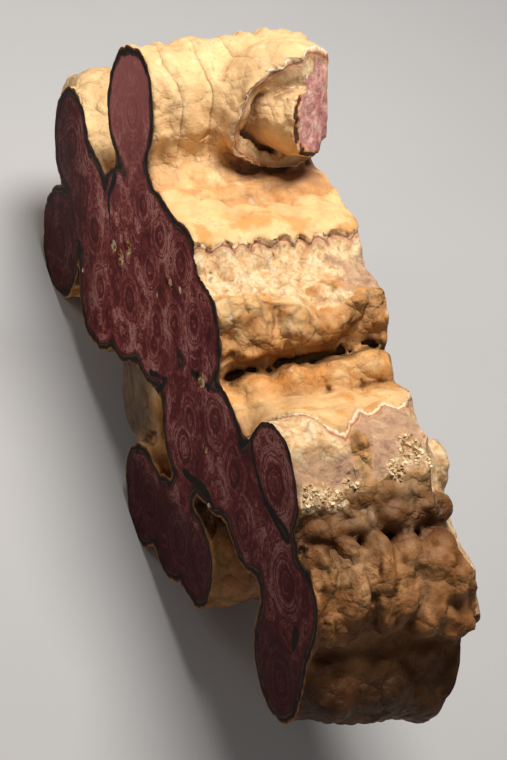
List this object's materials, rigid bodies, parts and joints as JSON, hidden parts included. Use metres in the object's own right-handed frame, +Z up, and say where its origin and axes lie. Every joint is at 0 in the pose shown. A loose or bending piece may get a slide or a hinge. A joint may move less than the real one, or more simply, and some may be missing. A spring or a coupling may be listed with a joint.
{
  "type": "rhodochrosite slice",
  "caption": "Thick slice of a rhodochrosite stalactite cluster, with a polished banded cut, a knobbly tan rind and a broken side branch, standing on the edges of its lobes.",
  "frame": {"origin": "middle of the bounding box at floor level, under the standing slice", "axes": "+X along the length of the standing slice, +Y from the polished cut to the sawn back, +Z up"},
  "size_m": [0.2232, 0.0476, 0.1178],
  "materials": {
    "stone": "rough natural rind, polished on the front cut, sawn matte on the back"
  },
  "bodies": {
    "root": {"rhodochrosite_slice": "stone"}
  },
  "joints": []
}
